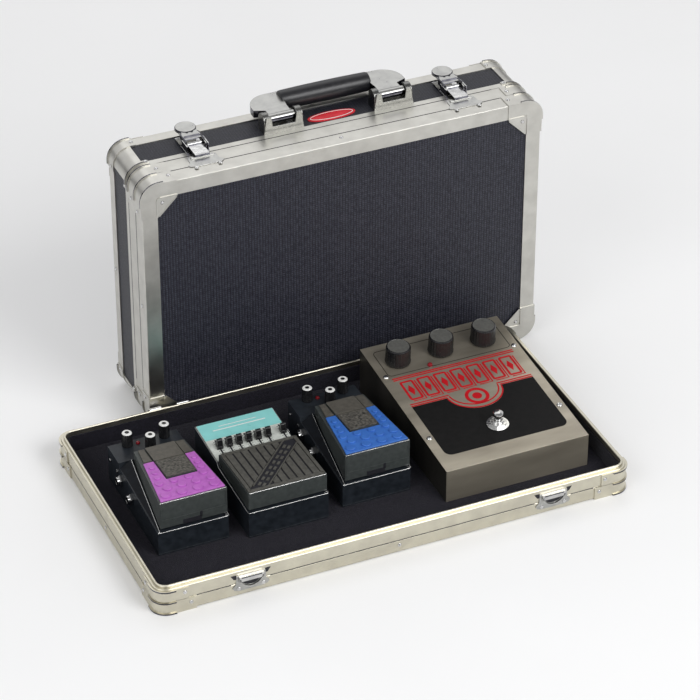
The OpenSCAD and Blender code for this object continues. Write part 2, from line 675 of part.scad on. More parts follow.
module pedal_screws() color([0.8, 0.8, 0.78]) on_floor(big_x, big_y) on_big_top()
    for (p = big_screws) translate([p[0], p[1], 0]) cylinder(h = 1.6, r1 = 2.9, r2 = 2);

module treadle_pins() color([0.7, 0.7, 0.7]) {
    for (x = compact_x) on_floor(x, compact_y) x_cyl(15.3, axle_y, axle_z, 53.1, axle_r);
    on_floor(eq_x, eq_y) x_cyl(1.2, eq_axle_y, eq_axle_z, eq_w - 2.4, axle_r);
}

tray_panels();
tray_carpet();
tray_edge_angles();
tray_closure_rails();
tray_corners();
tray_rivets();
tray_catches();
tray_hinge_leaves();
left_pedal_housing();
left_pedal_treadle();
left_pedal_pad();
left_pedal_knob_1();
left_pedal_knob_2();
left_pedal_knob_3();
right_pedal_housing();
right_pedal_treadle();
right_pedal_pad();
right_pedal_knob_1();
right_pedal_knob_2();
right_pedal_knob_3();
eq_pedal_housing();
eq_pedal_face_plate();
eq_pedal_treadle();
eq_pedal_slider_1();
eq_pedal_slider_2();
eq_pedal_slider_3();
eq_pedal_slider_4();
eq_pedal_slider_5();
eq_pedal_slider_6();
eq_pedal_slider_7();
big_pedal_chassis();
big_pedal_knob_1();
big_pedal_knob_2();
big_pedal_knob_3();
big_pedal_footswitch_bush();
big_pedal_footswitch_button();
pedal_base_plates();
pedal_jacks();
pedal_screws();
treadle_pins();
case_front_panels();
case_front_edge_angles();
case_front_rails();
case_front_corners();
case_front_rivets();
case_catches();
case_front_hinge_leaves();
case_lid_panels();
case_lid_frame();
case_lid_corners();
case_lid_rivets();
case_lid_hinge_leaves();
latch_bases();
handle_brackets();
left_latch_lever();
right_latch_lever();
left_latch_claw();
right_latch_claw();
handle_arms();
handle_grip();
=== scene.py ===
"""Looks of the pedal board: detailed pieces, materials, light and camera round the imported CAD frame."""

import json
import math

import bmesh
import bpy
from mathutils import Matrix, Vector


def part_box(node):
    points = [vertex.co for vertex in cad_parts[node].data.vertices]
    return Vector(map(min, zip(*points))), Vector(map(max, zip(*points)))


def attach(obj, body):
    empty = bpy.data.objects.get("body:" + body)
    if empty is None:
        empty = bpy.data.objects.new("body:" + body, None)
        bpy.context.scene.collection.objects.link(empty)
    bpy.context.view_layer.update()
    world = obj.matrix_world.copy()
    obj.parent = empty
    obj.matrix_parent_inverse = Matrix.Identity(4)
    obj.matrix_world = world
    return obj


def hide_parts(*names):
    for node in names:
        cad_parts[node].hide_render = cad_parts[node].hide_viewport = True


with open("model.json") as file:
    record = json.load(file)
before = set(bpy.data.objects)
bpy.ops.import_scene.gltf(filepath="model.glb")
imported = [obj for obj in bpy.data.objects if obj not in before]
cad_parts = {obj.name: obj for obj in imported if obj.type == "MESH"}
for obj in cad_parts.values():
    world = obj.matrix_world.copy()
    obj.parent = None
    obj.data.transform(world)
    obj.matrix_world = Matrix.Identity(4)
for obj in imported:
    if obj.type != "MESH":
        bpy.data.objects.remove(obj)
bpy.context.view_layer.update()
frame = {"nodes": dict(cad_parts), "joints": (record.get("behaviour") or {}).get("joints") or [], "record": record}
MM = 0.001
SCENE = bpy.context.scene
NODES = frame["nodes"]
RECORD = frame["record"]
BODY_OF = {n: b for b, ns in RECORD["behaviour"]["bodies"].items() for n in ns}
SLOT_OF = {s["node"]: s["material_slot"] for s in RECORD["subparts"]}
JOINT = {j["name"]: j for j in frame["joints"]}

# ---- camera ----
AZIMUTH, PITCH, FOCAL_PX, SENSOR, FRAME_PX = -23.71, 34.11, 3210.0, 36.0, 700
EYE = (-783, -2233, 1902)  # millimetres from the tray's front left corner


# ---- places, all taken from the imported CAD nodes: each function takes millimetres ----
def placer(origin, x_dir=(1, 0, 0), y_dir=(0, 1, 0), z_dir=(0, 0, 1)):
    o, x, y, z = (Vector(v) for v in (origin, x_dir, y_dir, z_dir))

    def place(u, v, h):
        return o + (x * u + y * v + z * h) * MM

    return place


def sloped(origin, slope):
    """A face that runs back from origin, rising by slope (radians) to the rear."""
    c, s = math.cos(slope), math.sin(slope)
    return placer(origin, (1, 0, 0), (0, c, s), (0, -s, c))


TRAY_LO, TRAY_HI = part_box("tray_closure_rails")
tray = placer((TRAY_LO.x, TRAY_LO.y, 0))
CASE_LO, CASE_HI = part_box("case_front_rails")
CASE_W = (CASE_HI.x - CASE_LO.x) / MM
FRONT_D = 39
case_y0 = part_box("case_front_edge_angles")[0].y - 0.8 * MM
case_top = placer((CASE_LO.x, case_y0, CASE_HI.z))
case_face = placer((CASE_LO.x, case_y0, CASE_LO.z), (1, 0, 0), (0, 0, 1), (0, -1, 0))
PEDAL_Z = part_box("pedal_base_plates")[0].z
TREADLE_FALL = math.atan2(49.6 - 60, 103)
EQ_FALL = math.atan2(46.8 - 51.8, 77.5)


def camera():
    data = bpy.data.cameras.new("camera")
    data.sensor_width = SENSOR
    data.lens = FOCAL_PX * SENSOR / FRAME_PX
    data.clip_start, data.clip_end = 0.05, 80
    cam = bpy.data.objects.new("camera", data)
    SCENE.collection.objects.link(cam)
    a, e = math.radians(AZIMUTH), math.radians(PITCH)
    back = Vector((math.sin(a) * math.cos(e), -math.cos(a) * math.cos(e), math.sin(e)))
    cam.location = tray(*EYE)
    cam.rotation_mode = "QUATERNION"
    cam.rotation_quaternion = (-back).to_track_quat("-Z", "Y")
    SCENE.camera = cam


camera()

# ---- materials ----
MATS = {}


def material(name, light, dark=None, rough=0.4, vary=0.1, metal=0.0, grain=300, stretch=(1, 1, 1),
             bump=0.1, bump_grain=1500, depth=0.05, weave=None, spec=0.5, coat=0.0, sheen=0.0):
    """Two-tone noise material; weave is the pitch in metres of a woven face."""
    m = bpy.data.materials.new(name)
    m.use_nodes = True
    nt = m.node_tree
    b = nt.nodes["Principled BSDF"]
    new, link = nt.nodes.new, nt.links.new
    coord = new("ShaderNodeTexCoord")
    mapping = new("ShaderNodeMapping")
    mapping.inputs["Scale"].default_value = stretch
    link(coord.outputs["Object"], mapping.inputs["Vector"])
    noise = new("ShaderNodeTexNoise")
    noise.inputs["Scale"].default_value = grain
    noise.inputs["Detail"].default_value = 4
    link(mapping.outputs[0], noise.inputs["Vector"])
    ramp = new("ShaderNodeValToRGB")
    ramp.color_ramp.elements[0].position = 0.32
    ramp.color_ramp.elements[1].position = 0.68
    dark = dark or tuple(c * 0.8 for c in light)
    ramp.color_ramp.elements[0].color = (*dark, 1)
    ramp.color_ramp.elements[1].color = (*light, 1)
    link(noise.outputs["Fac"], ramp.inputs["Fac"])
    span = new("ShaderNodeMapRange")
    span.inputs["To Min"].default_value = max(0.02, rough - vary)
    span.inputs["To Max"].default_value = min(1.0, rough + vary)
    link(noise.outputs["Fac"], span.inputs["Value"])
    link(span.outputs[0], b.inputs["Roughness"])
    fine = new("ShaderNodeTexNoise")
    fine.inputs["Scale"].default_value = bump_grain
    link(mapping.outputs[0], fine.inputs["Vector"])
    height, colour = fine.outputs["Fac"], ramp.outputs["Color"]
    if weave:
        bands = []
        for axis, pitch in zip("XZ", weave):
            w = new("ShaderNodeTexWave")
            w.wave_type, w.bands_direction = "BANDS", axis
            w.inputs["Scale"].default_value = math.pi / (10 * pitch)
            w.inputs["Distortion"].default_value = 0.6
            w.inputs["Detail Scale"].default_value = 60
            link(coord.outputs["Object"], w.inputs["Vector"])
            bands.append(w)
        times = new("ShaderNodeMath")
        times.operation = "MULTIPLY"
        link(bands[0].outputs["Fac"], times.inputs[0])
        link(bands[1].outputs["Fac"], times.inputs[1])
        plus = new("ShaderNodeMath")
        plus.operation = "MULTIPLY_ADD"
        plus.inputs[1].default_value = 0.5
        link(fine.outputs["Fac"], plus.inputs[0])
        link(times.outputs[0], plus.inputs[2])
        height = plus.outputs[0]
        mix = new("ShaderNodeMix")
        mix.data_type, mix.blend_type = "RGBA", "MULTIPLY"
        mix.inputs["Factor"].default_value = 1.0
        shade = new("ShaderNodeMapRange")
        shade.inputs["To Min"].default_value = 0.25
        shade.inputs["To Max"].default_value = 2.2
        link(height, shade.inputs["Value"])
        link(colour, mix.inputs["A"])
        link(shade.outputs[0], mix.inputs["B"])
        colour = mix.outputs["Result"]
    link(colour, b.inputs["Base Color"])
    bumper = new("ShaderNodeBump")
    bumper.inputs["Strength"].default_value = bump
    bumper.inputs["Distance"].default_value = depth * MM
    link(height, bumper.inputs["Height"])
    link(bumper.outputs[0], b.inputs["Normal"])
    b.inputs["Metallic"].default_value = metal
    b.inputs["Specular IOR Level"].default_value = spec
    b.inputs["Coat Weight"].default_value = coat
    b.inputs["Sheen Weight"].default_value = sheen
    MATS[name] = m
    return m


material("rail", (0.66, 0.63, 0.52), (0.56, 0.53, 0.44), rough=0.36, vary=0.08, metal=1,
         grain=60, bump=0.25, bump_grain=900)
material("case_rail", (0.60, 0.59, 0.55), (0.50, 0.49, 0.455), rough=0.34, vary=0.08, metal=1,
         grain=60, bump=0.25, bump_grain=900)
material("chrome", (0.66, 0.66, 0.65), (0.50, 0.50, 0.50), rough=0.13, vary=0.06, metal=1,
         grain=90, bump=0.3, bump_grain=180, depth=0.3)
# darker copy of chrome for ribs and upright faces: painted shade and painted dark reflection
material("shaded_chrome", (0.13, 0.13, 0.15), (0.03, 0.03, 0.04), rough=0.12, vary=0.05, metal=1,
         grain=110, bump=0.3, bump_grain=160, depth=0.3)
material("satin_chrome", (0.50, 0.50, 0.48), (0.40, 0.40, 0.39), rough=0.30, vary=0.08, metal=1,
         grain=120, bump=0.15, bump_grain=500)
material("steel", (0.72, 0.72, 0.71), (0.5, 0.5, 0.5), rough=0.22, vary=0.08, metal=1, grain=250)
material("laminate", (0.026, 0.027, 0.038), (0.005, 0.0055, 0.012), rough=0.48, vary=0.10,
         grain=380, stretch=(1, 1, 0.6), bump=0.9, depth=0.4, weave=(0.0030, 0.0023), spec=0.4,
         sheen=0)
material("board", (0.012, 0.012, 0.018), (0.008, 0.008, 0.012), rough=0.6)
material("carpet", (0.016, 0.014, 0.025), (0.003, 0.003, 0.006), rough=0.95, vary=0.04,
         grain=900, bump=0.9, bump_grain=1400, depth=0.8, spec=0.1, sheen=0.12)
material("housing", (0.021, 0.026, 0.033), (0.011, 0.014, 0.018), rough=0.36, vary=0.1,
         grain=160, bump=0.35, bump_grain=1700, depth=0.12, spec=0.35)
# darker copy of the housing paint for the sloping cheeks: painted shade
material("cheek_shade", (0.010, 0.012, 0.016), (0.005, 0.006, 0.008), rough=0.6, grain=160, spec=0.15)
material("dull_chrome", (0.24, 0.24, 0.23), (0.17, 0.17, 0.165), rough=0.26, vary=0.08, metal=1,
         grain=120, bump=0.15, bump_grain=500)
material("treadle", (0.058, 0.066, 0.064), (0.040, 0.046, 0.045), rough=0.36, vary=0.1,
         grain=220, bump=0.35, bump_grain=1700, depth=0.12)
material("cover", (0.115, 0.106, 0.088), (0.075, 0.069, 0.058), rough=0.5, vary=0.1,
         grain=240, bump=0.5, bump_grain=1500, depth=0.15)
material("stipple", (0.15, 0.14, 0.12), (0.018, 0.017, 0.015), rough=0.55, vary=0.1,
         grain=430, bump=1.0, bump_grain=480, depth=0.8)
material("purple", (0.52, 0.15, 0.56), (0.45, 0.12, 0.49), rough=0.42, vary=0.08, grain=150,
         bump=0.3)
material("blue", (0.045, 0.175, 0.58), (0.035, 0.14, 0.50), rough=0.42, vary=0.08, grain=150,
         bump=0.3)
material("turquoise", (0.30, 0.72, 0.70), (0.27, 0.66, 0.64), rough=0.3, vary=0.08, grain=90)
material("white_print", (0.72, 0.75, 0.70), (0.60, 0.63, 0.58), rough=0.4, grain=250)
material("white", (0.85, 0.85, 0.83), (0.75, 0.75, 0.73), rough=0.35, grain=300)
material("eq_tread", (0.095, 0.092, 0.080), (0.060, 0.058, 0.050), rough=0.55, vary=0.1,
         grain=260, bump=0.5, bump_grain=1600, depth=0.15)
material("knob", (0.013, 0.013, 0.014), (0.007, 0.007, 0.008), rough=0.25, vary=0.08, grain=300)
material("knob_top", (0.13, 0.13, 0.12), (0.09, 0.09, 0.083), rough=0.34, vary=0.05, grain=400)
material("nickel", (0.48, 0.435, 0.35), (0.30, 0.27, 0.215), rough=0.36, vary=0.08, metal=0.65,
         grain=22, stretch=(0.35, 1.6, 1), bump=0.35, bump_grain=700)
# darker copy of nickel for the big pedal's side faces: painted shade
material("nickel_shaded_side", (0.17, 0.16, 0.135), (0.08, 0.075, 0.063), rough=0.3, vary=0.08, metal=0.85,
         grain=16, stretch=(2, 2, 0.4), bump=0.3, bump_grain=700)
material("red_print", (0.55, 0.008, 0.016), (0.46, 0.006, 0.012), rough=0.55, grain=200, spec=0.12)
material("black_print", (0.010, 0.0095, 0.0095), (0.005, 0.005, 0.005), rough=0.6, grain=200,
         bump=0.3, bump_grain=1800, spec=0.15)
material("grip", (0.016, 0.016, 0.019), (0.009, 0.009, 0.011), rough=0.34, vary=0.07, grain=220,
         bump=0.35, bump_grain=1200, depth=0.15)
material("badge", (0.75, 0.03, 0.045), (0.60, 0.02, 0.03), rough=0.22, grain=120, coat=0.6)
material("lens", (0.30, 0.01, 0.02), (0.2, 0.005, 0.01), rough=0.12, grain=300)
material("floor", (0.93, 0.93, 0.93), (0.91, 0.91, 0.91), rough=0.75, grain=3, bump=0.02)

NODE_MAT = {
    "carpet": "carpet", "board": "board", "laminate": "laminate", "rail": "rail",
    "corner": "chrome", "bright": "chrome", "steel": "steel", "housing": "housing",
    "treadle": "treadle", "purple": "purple", "blue": "blue", "turquoise": "white_print",
    "eq_tread": "eq_tread", "knob": "knob", "nickel": "nickel", "grip": "grip",
}
for name, obj in NODES.items():
    key = NODE_MAT[SLOT_OF[name]]
    if key == "rail" and name.startswith("case"):
        key = "case_rail"
    obj.data.materials.clear()
    obj.data.materials.append(MATS[key])


# ---- mesh tools ----
def prism(bm, place, outline, low, high, mat=0):
    """A closed prism over an outline of (u, v) points."""
    a = [bm.verts.new(place(u, v, low)) for u, v in outline]
    b = [bm.verts.new(place(u, v, high)) for u, v in outline]
    n = len(outline)
    faces = [bm.faces.new(a[::-1]), bm.faces.new(b)]
    faces += [bm.faces.new((a[i], a[(i + 1) % n], b[(i + 1) % n], b[i])) for i in range(n)]
    for f in faces:
        f.material_index = mat


def block(bm, place, lo, hi, mat=0):
    prism(bm, place, [(lo[0], lo[1]), (hi[0], lo[1]), (hi[0], hi[1]), (lo[0], hi[1])],
          lo[2], hi[2], mat)


def rounded(x0, y0, x1, y1, r, steps=6):
    """Outline of a rectangle with rounded corners."""
    out = []
    for cx, cy, start in ((x1 - r, y0 + r, -90), (x1 - r, y1 - r, 0), (x0 + r, y1 - r, 90),
                          (x0 + r, y0 + r, 180)):
        for i in range(steps + 1):
            t = math.radians(start + 90 * i / steps)
            out.append((cx + r * math.cos(t), cy + r * math.sin(t)))
    return out


def circle(x, y, r, steps):
    """Outline of a circle."""
    return [(x + r * math.cos(t), y + r * math.sin(t))
            for t in (2 * math.pi * i / steps for i in range(steps))]


def band(outline, width):
    """The same outline moved inwards by width, found from its neighbours' normals."""
    n, out = len(outline), []
    for i, (x, y) in enumerate(outline):
        ax, ay = outline[i - 1]
        bx, by = outline[(i + 1) % n]
        d = math.hypot(bx - ax, by - ay) or 1
        out.append((x - (by - ay) / d * width, y + (bx - ax) / d * width))
    return out


def frame_strip(bm, place, outline, width, low, high, mat=0):
    """A raised line of that width along the inside of a closed outline."""
    inner = band(outline, width)
    n = len(outline)
    rings = [[bm.verts.new(place(u, v, h)) for u, v in line]
             for line, h in ((outline, low), (outline, high), (inner, high), (inner, low))]
    for k in range(4):
        a, b = rings[k], rings[(k + 1) % 4]
        for i in range(n):
            f = bm.faces.new((a[i], a[(i + 1) % n], b[(i + 1) % n], b[i]))
            f.material_index = mat


def stroke(bm, place, points, width, low, high, mat=0):
    """A raised line of that width through open (u, v) points."""
    left, right = [], []
    for i, (x, y) in enumerate(points):
        ax, ay = points[max(0, i - 1)]
        bx, by = points[min(len(points) - 1, i + 1)]
        d = math.hypot(bx - ax, by - ay) or 1
        nx, ny = -(by - ay) / d * width / 2, (bx - ax) / d * width / 2
        left.append((x + nx, y + ny))
        right.append((x - nx, y - ny))
    for i in range(len(points) - 1):
        prism(bm, place, [right[i], right[i + 1], left[i + 1], left[i]], low, high, mat)


def lathe(bm, place, centre, profile, n=40, flutes=0, flute=0.0, mats=None):
    """A turned shape: profile is (radius, height) from its foot to its top."""
    rings = []
    for r, h in profile:
        ring = []
        for i in range(n):
            t = 2 * math.pi * i / n
            q = r * (1 - flute * (0.5 - 0.5 * math.cos(flutes * t))) if flutes else r
            ring.append(bm.verts.new(place(centre[0] + q * math.cos(t),
                                           centre[1] + q * math.sin(t), centre[2] + h)))
        rings.append(ring)
    for k in range(len(rings) - 1):
        for i in range(n):
            j = (i + 1) % n
            f = bm.faces.new((rings[k][i], rings[k][j], rings[k + 1][j], rings[k + 1][i]))
            f.material_index = mats[k] if mats else 0
    bm.faces.new(rings[0][::-1])
    f = bm.faces.new(rings[-1])
    f.material_index = mats[-1] if mats else 0


def tube(bm, points, r, n=10, mat=0):
    """A round bar through world points given in metres."""
    rings = []
    for i, p in enumerate(points):
        d = (points[min(i + 1, len(points) - 1)] - points[max(i - 1, 0)]).normalized()
        side = d.cross(Vector((0, 0, 1)))
        side = side.normalized() if side.length > 1e-6 else Vector((1, 0, 0))
        up = side.cross(d)
        rings.append([bm.verts.new(p + (side * math.cos(2 * math.pi * k / n)
                                        + up * math.sin(2 * math.pi * k / n)) * r * MM)
                      for k in range(n)])
    for a, b in zip(rings, rings[1:]):
        for k in range(n):
            f = bm.faces.new((a[k], a[(k + 1) % n], b[(k + 1) % n], b[k]))
            f.material_index = mat
    bm.faces.new(rings[0][::-1]).material_index = mat
    bm.faces.new(rings[-1]).material_index = mat


def finish_piece(bm, name, body, mats, bevel=0.0, segments=2, replaces=(), angle=32):
    bmesh.ops.recalc_face_normals(bm, faces=bm.faces)
    mesh = bpy.data.meshes.new(name)
    bm.to_mesh(mesh)
    bm.free()
    for m in mats:
        mesh.materials.append(MATS[m])
    mesh.shade_smooth()
    mesh.set_sharp_from_angle(angle=math.radians(angle))
    obj = bpy.data.objects.new(name, mesh)
    SCENE.collection.objects.link(obj)
    if bevel:
        mod = obj.modifiers.new("bevel", "BEVEL")
        mod.width, mod.segments = bevel * MM, segments
        mod.limit_method, mod.angle_limit = "ANGLE", math.radians(angle)
        mod.use_clamp_overlap = True
        soft = obj.modifiers.new("normals", "WEIGHTED_NORMAL")
        soft.keep_sharp = False
    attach(obj, body)
    if replaces:
        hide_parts(*replaces)
    return obj


def softened(node, bevel, mat, segments=2, extra=None, angle=32, mats=None, shaded_sides=None,
             pick=None):
    """A copy of a CAD node with rounded edges, and any detail that extra(bm) adds.
    The second material is a darker copy painted as shade, for the upright faces or for those that pick(face)
    names."""
    bm = bmesh.new()
    bm.from_mesh(NODES[node].data)
    bmesh.ops.remove_doubles(bm, verts=bm.verts, dist=2e-6)
    bmesh.ops.dissolve_limit(bm, angle_limit=math.radians(0.6), verts=bm.verts, edges=bm.edges)
    extras = list(mats or [])
    for f in bm.faces:
        f.material_index = 0
    if extra:
        extra(bm)
    bm.normal_update()
    pick = pick or (lambda f: abs(f.normal.z) < 0.55)
    for f in bm.faces:
        if shaded_sides and f.material_index == 0 and pick(f):
            f.material_index = 1 + len(extras)
    return finish_piece(bm, "soft_" + node, BODY_OF[node],
                        [mat] + extras + ([shaded_sides] if shaded_sides else []), bevel, segments, (node,), angle)


# ---- tray and case hardware ----
TRAY_W, TRAY_D = (TRAY_HI.x - TRAY_LO.x) / MM, (TRAY_HI.y - TRAY_LO.y) / MM
CASE_H = (CASE_HI.z - CASE_LO.z) / MM


def on_rib(lo, across, w, d, r):
    """True for the faces of a corner piece's ribs, which stand further out than its wall."""
    def pick(f):
        c = (f.calc_center_median() - Vector(lo)) / MM
        u, v = c.x, c[across]
        out = math.hypot(max(abs(u - w / 2) - w / 2 + r, 0), max(abs(v - d / 2) - d / 2 + r, 0)) - r
        return out > 1.35
    return pick


def gussets(bm):
    """Raised rim and flat triangle inside each front corner bracket of the case."""
    for sx, sz in ((0, 0), (1, 0), (1, 1), (0, 1)):
        def at(u, v, h, sx=sx, sz=sz):
            return case_face(CASE_W - u if sx else u, CASE_H - v if sz else v, h)
        stroke(bm, at, [(37, 15.4), (19, 15.4), (16.3, 16.3), (15.4, 19), (15.4, 37)], 1.6, -0.1, 0.8)
        stroke(bm, at, [(36.2, 17.4), (17.4, 36.2)], 1.0, -0.1, 0.5)


# corner pieces: their ribs get the darker chrome, a painted shade and painted dark reflection
softened("tray_corners", 0.4, "rail", shaded_sides="shaded_chrome",
         pick=on_rib((TRAY_LO.x, TRAY_LO.y, 0), 1, TRAY_W, TRAY_D, 14))
softened("case_front_corners", 0.4, "case_rail", extra=gussets, shaded_sides="shaded_chrome",
         pick=on_rib((CASE_LO.x, 0, CASE_LO.z), 2, CASE_W, CASE_H, 18))
softened("case_lid_corners", 0.4, "case_rail", shaded_sides="shaded_chrome",
         pick=on_rib((CASE_LO.x, 0, CASE_LO.z), 2, CASE_W, CASE_H, 18))
for node in ("tray_rivets", "case_front_rivets", "case_lid_rivets"):
    softened(node, 0.55, "steel", 3)
for node in ("tray_hinge_leaves", "case_front_hinge_leaves", "case_lid_hinge_leaves"):
    softened(node, 0.25, "steel")


def catch_piece(name, node, body, place_of, spots, top, proud):
    """Catch plates: two riveted ears, a round-bottomed hook loop whose window is painted dark as shade, a
    bright strap across it with a line of painted shade, and the rail's recesses beside it painted dark as shade.
    top is the rail's edge."""
    bm = bmesh.new()
    for s in spots:
        place = place_of(s)
        low = top - 22.5
        prism(bm, place, [(-19, low + 3.5), (-17, low + 0.8), (-12, low - 0.5), (12, low - 0.5),
                          (17, low + 0.8), (19, low + 3.5), (15.5, low + 8), (14.8, top - 5),
                          (-14.8, top - 5), (-15.5, low + 8)], 0.0, 0.9, 0)
        if proud < 3:
            prism(bm, place, [(-12, top - 9), (12, top - 9), (12, top - 5.6), (-12, top - 5.6)],
                  0.8, proud, 0)
            continue
        bowl = [(12 * math.cos(t), top - 8.5 + 10.5 * math.sin(t))
                for t in (math.pi + math.pi * i / 20 for i in range(21))]
        stroke(bm, place, bowl, 2.2, 0.8, proud, 0)
        # the window inside the loop, painted dark: painted shade
        prism(bm, place, [(u * 0.86, top - 8.5 + (v - top + 8.5) * 0.86) for u, v in bowl],
              0.9, 1.15, 1)
        prism(bm, place, [(-12, top - 11.5), (12, top - 11.5), (12.6, top - 5.6), (-12.6, top - 5.6)],
              0.8, proud, 2)
        # dark line across the strap: painted shade
        prism(bm, place, [(-10.5, top - 7.6), (10.5, top - 7.6), (10.5, top - 6.5),
                          (-10.5, top - 6.5)], proud - 0.3, proud + 0.1, 1)
        # the rail's recesses beside the catch, painted dark: painted shade
        for k in (-1, 1):
            prism(bm, place, [(k * 14.6, top - 9.5), (k * 17.4, top - 9), (k * 20.5, top - 4.2),
                              (k * 14.6, top - 4.2)], -0.05, 0.25, 1)
    finish_piece(bm, name, body, ["satin_chrome", "board", "chrome"], 0.3, 2, (node,))


def tray_side(s):
    return placer(tray(s, 0, 0), (1, 0, 0), (0, 0, 1), (0, -1, 0))


TRAY_CATCHES = [0.19 * TRAY_W, 0.83 * TRAY_W]
LATCHES = [0.175 * CASE_W, 0.825 * CASE_W]
TRAY_H = 29
catch_piece("tray_catch_plates", "tray_catches", "tray", tray_side, TRAY_CATCHES, TRAY_H, 3.1)
catch_piece("case_catch_plates", "case_catches", "case_front",
            lambda s: placer(case_top(s, 0, 0), (1, 0, 0), (0, 1, 0), (0, 0, 1)),
            LATCHES, FRONT_D, 2.2)

# ---- grooves along the rails, drawn as dark lines: painted shade ----
CASE_END, TRAY_END = 38, 40  # where the grooves stop, short of the corner pieces
SUNK, PROUD = -0.1, 0.06
bm = bmesh.new()
for along in (19.5, FRONT_D - 0.2):
    stroke(bm, case_top, [(CASE_END, along), (CASE_W - CASE_END, along)], 1.1, SUNK, PROUD)
    for x, out in ((0, -1), (CASE_W, 1)):
        side_of = placer(case_face(x, 0, 0), (0, 0, 1), (0, 1, 0), (out, 0, 0))
        stroke(bm, side_of, [(CASE_END, along), (CASE_H - CASE_END, along)], 1.1, SUNK, PROUD)
finish_piece(bm, "case_groove_shade", "case_front", ["board"])

TRAY_GROOVE_Z = 14.5
bm = bmesh.new()
front = placer(tray(0, 0, 0), (1, 0, 0), (0, 0, 1), (0, -1, 0))
for u0, u1 in ((TRAY_END, TRAY_CATCHES[0] - 20), (TRAY_CATCHES[0] + 20, TRAY_CATCHES[1] - 20),
               (TRAY_CATCHES[1] + 20, TRAY_W - TRAY_END)):
    stroke(bm, front, [(u0, TRAY_GROOVE_Z), (u1, TRAY_GROOVE_Z)], 0.9, SUNK, PROUD)
for x, out in ((0, -1), (TRAY_W, 1)):
    side_of = placer(tray(x, 0, 0), (0, 1, 0), (0, 0, 1), (out, 0, 0))
    stroke(bm, side_of, [(TRAY_END, TRAY_GROOVE_Z), (TRAY_D - TRAY_END, TRAY_GROOVE_Z)], 0.9,
           SUNK, PROUD)
finish_piece(bm, "tray_groove_shade", "tray", ["board"])

# ---- latches ----
# latch parts: their upright faces get the darker chrome, a painted shade
softened("latch_bases", 0.4, "chrome", shaded_sides="shaded_chrome")
for side, x in zip(("left", "right"), LATCHES):
    def thumb(bm, x=x):
        y = FRONT_D + 37.5
        # thumb disc, its rim in the darker chrome as painted shade
        lathe(bm, case_top, (x, y, 7.6), [(9.6, 0), (10.8, 0.6), (10.8, 2.9), (10.2, 3.5), (9.4, 3.6),
                                          (3, 3.3)], 44, mats=[2, 2, 2, 0, 0, 0])
        prism(bm, case_top, [(x - 9.2, y - 18), (x + 9.2, y - 18), (x + 9.4, y - 15),
                             (x + 7.2, y - 7), (x - 7.2, y - 7), (x - 9.4, y - 15)], 8.2, 10.4, 0)
        for k in (-1, 1):
            # the lever's side walls in the darker chrome: painted shade
            prism(bm, case_top, [(x + k * 8.9, y - 29), (x + k * 10.3, y - 27), (x + k * 10.3, y - 12),
                                 (x + k * 8.9, y - 9)], 3.4, 10.0, 2)
            # two small holes drawn as dark discs: painted shade
            lathe(bm, case_top, (x + k * 2.7, y - 11, 10.3), [(1.25, 0), (1.25, 0.3)], 14, mats=[1, 1])
        stroke(bm, case_top, [(x - 8, y - 17), (x + 8, y - 17)], 1.2, 10.3, 11.0, 0)

    softened(side + "_latch_lever", 0.4, "satin_chrome", extra=thumb,
             mats=["board", "shaded_chrome"], shaded_sides="shaded_chrome")
    softened(side + "_latch_claw", 0.45, "chrome", shaded_sides="shaded_chrome")

# ---- handle ----
HANDLE_X, HANDLE_Y, HANDLE_Z, GRIP_Y, GRIP_HALF = 0.53 * CASE_W, FRONT_D + 16, 12, 31, 47


def bracket_faces(bm):
    for s in (-1, 1):
        cx = HANDLE_X + s * 60
        prism(bm, placer(case_top(cx, HANDLE_Y - 8, 0), (1, 0, 0), (0, 0, 1), (0, -1, 0)),
              [(-22, -1), (22, -1), (19, 19), (13.5, 19), (12, 8), (-12, 8), (-13.5, 19), (-19, 19)],
              0, 1.2, 1)


softened("handle_brackets", 0.6, "dull_chrome", extra=bracket_faces, mats=["dull_chrome"])
# the arms' upright faces get the darker chrome: painted shade
softened("handle_arms", 1.6, "satin_chrome", 3, shaded_sides="shaded_chrome")

bm = bmesh.new()
grip_place = placer(case_top(HANDLE_X, HANDLE_Y + GRIP_Y, HANDLE_Z), (0, 1, 0), (0, 0, 1), (1, 0, 0))
lathe(bm, grip_place, (0, 0, -GRIP_HALF - 2),
      [(8.0, 0), (9.5, 0.6), (9.9, 3), (10.1, 12), (10.4, 30), (10.5, GRIP_HALF + 2),
       (10.4, 2 * GRIP_HALF - 26), (10.1, 2 * GRIP_HALF - 8), (9.9, 2 * GRIP_HALF + 1),
       (9.4, 2 * GRIP_HALF + 3.4), (8.0, 2 * GRIP_HALF + 4)], 48)
finish_piece(bm, "grip", "handle", ["grip"], replaces=("handle_grip",))

bm = bmesh.new()
oval = [(26 * math.cos(t), 8 * math.sin(t)) for t in (2 * math.pi * i / 48 for i in range(48))]
badge_place = placer(case_top(HANDLE_X - 4, FRONT_D + 18, -1))
prism(bm, badge_place, oval, 0, 1.2, 0)
frame_strip(bm, badge_place, [(u * 0.9, v * 0.82) for u, v in oval], 0.7, 1.2, 1.45, 1)
finish_piece(bm, "badge", "case_lid", ["badge", "white"], 0.3)

